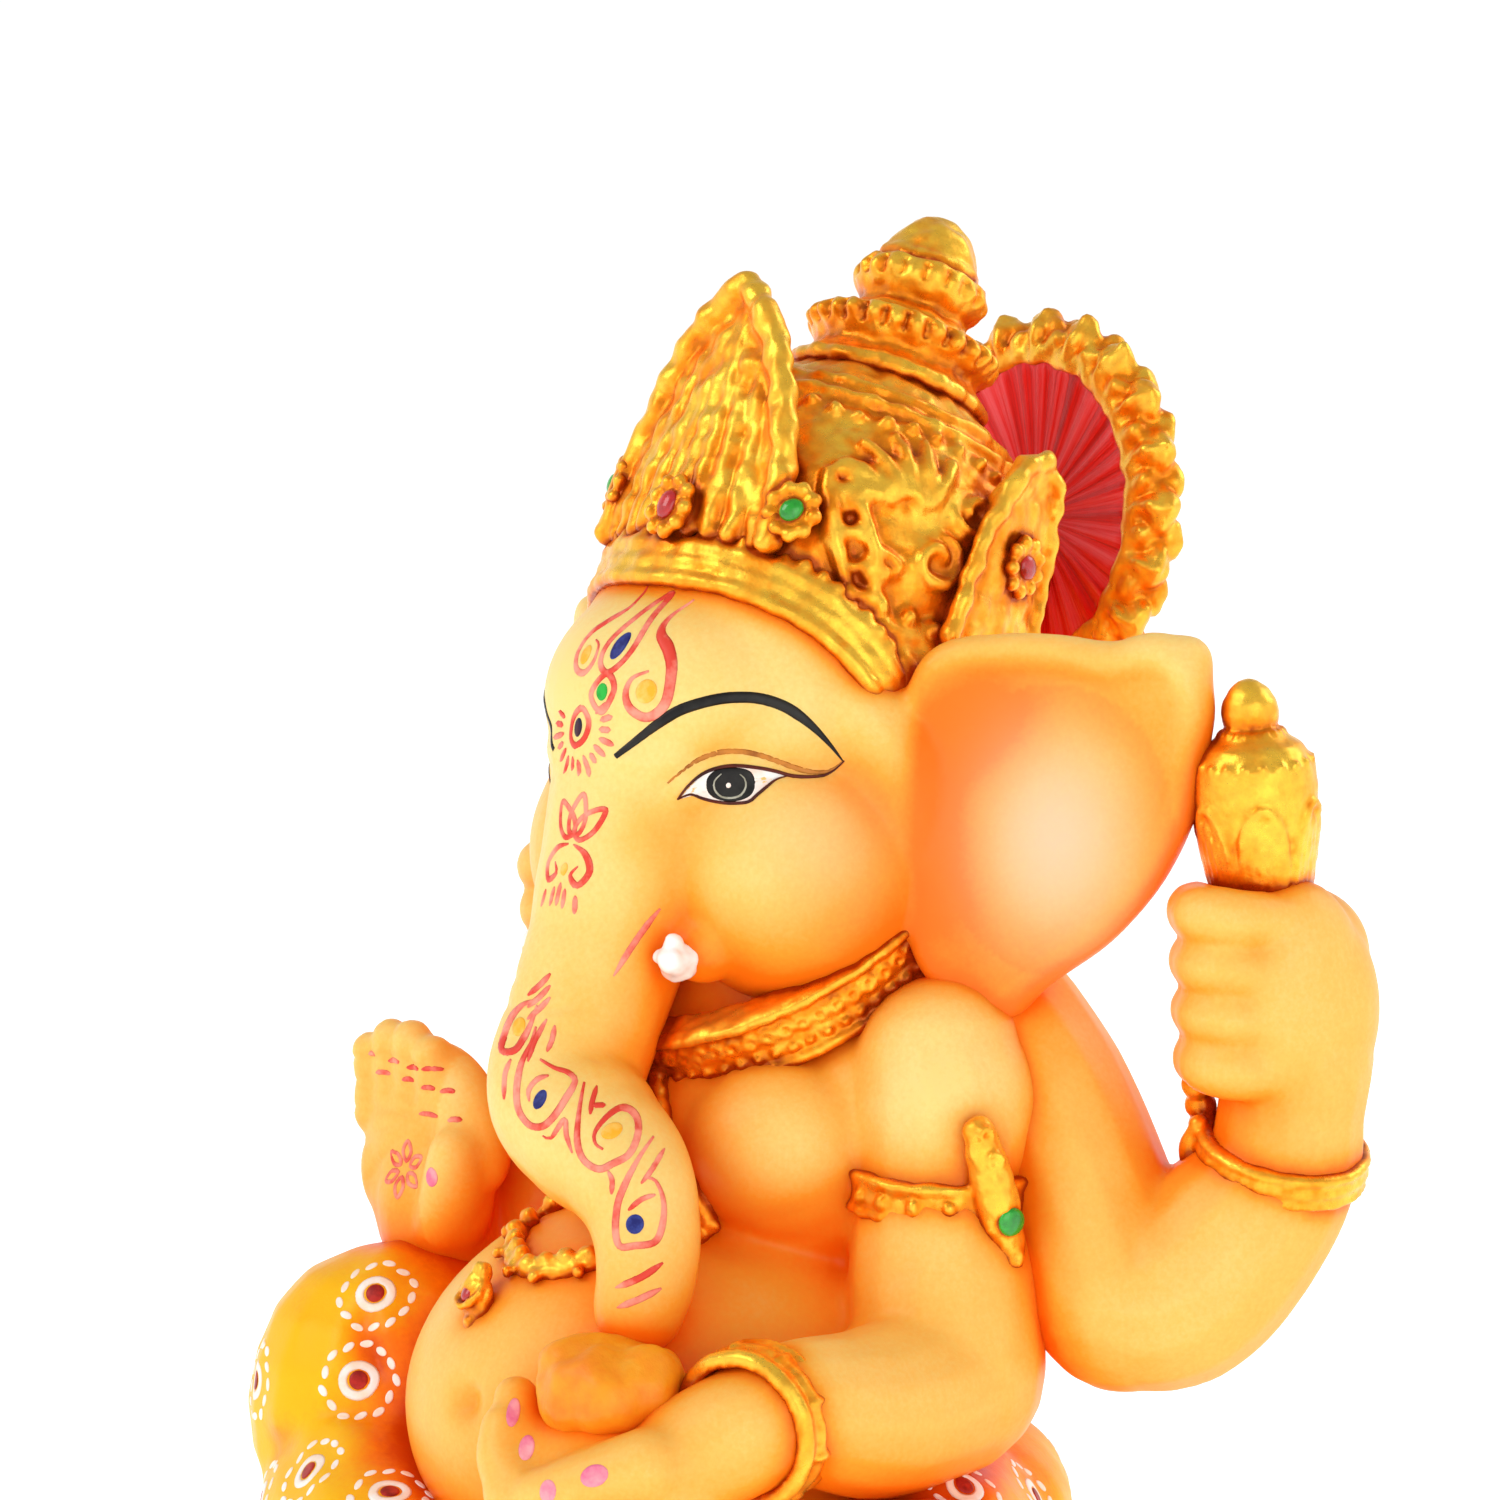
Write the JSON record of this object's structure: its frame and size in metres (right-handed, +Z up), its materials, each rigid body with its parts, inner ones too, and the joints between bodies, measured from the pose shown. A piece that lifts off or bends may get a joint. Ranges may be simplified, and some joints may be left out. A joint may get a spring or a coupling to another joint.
{
  "type": "ganesha idol",
  "caption": "Seated four-armed elephant-headed idol on an oval plinth, with tall crown, halo, mace and sweet; painted cast resin with moulded gold jewellery.",
  "frame": {"origin": "middle of the plinth's flat underside, straight below the head", "axes": "+Z up, the idol faces -Y, and its own left side is +X"},
  "size_m": [0.1506, 0.11, 0.192],
  "materials": {
    "skin": "cast resin, airbrushed cream with orange shading, semi-gloss",
    "gold": "metallic gold paint on resin",
    "cloth": "yellow painted resin with printed rings",
    "crimson": "red painted resin",
    "ivory": "white painted resin",
    "sweet": "amber painted resin"
  },
  "bodies": {
    "root": {"plinth": "gold", "crown_dome": "gold", "crown_brim": "gold", "crown_lower_tier": "gold", "crown_upper_tier": "gold", "crown_finial": "gold", "crown_front_leaf": "gold", "crown_left_leaf": "gold", "crown_right_leaf": "gold", "halo_rim": "gold", "collar": "gold", "long_necklace": "gold", "pendant": "gold", "left_armlet": "gold", "right_armlet": "gold", "left_back_bracelet": "gold", "right_back_bracelet": "gold", "left_front_bracelet": "gold", "right_front_bracelet": "gold", "right_anklet": "gold", "mace": "gold", "axe": "gold", "head": "skin", "trunk": "skin", "torso": "skin", "left_ear": "skin", "right_ear": "skin", "right_foot": "skin", "left_foot": "skin", "left_front_upper_arm": "skin", "right_front_upper_arm": "skin", "left_front_forearm": "skin", "left_front_hand": "skin", "right_front_forearm": "skin", "right_front_hand": "skin", "left_back_upper_arm": "skin", "left_back_forearm": "skin", "right_back_upper_arm": "skin", "right_back_forearm": "skin", "left_back_hand": "skin", "right_back_hand": "skin", "right_thigh": "cloth", "left_thigh": "cloth", "right_shin": "cloth", "left_shin": "cloth", "dhoti_hips": "cloth", "seat_pad": "crimson", "halo_dish": "crimson", "left_tusk": "ivory", "right_tusk": "ivory", "sweet": "sweet"}
  },
  "joints": []
}
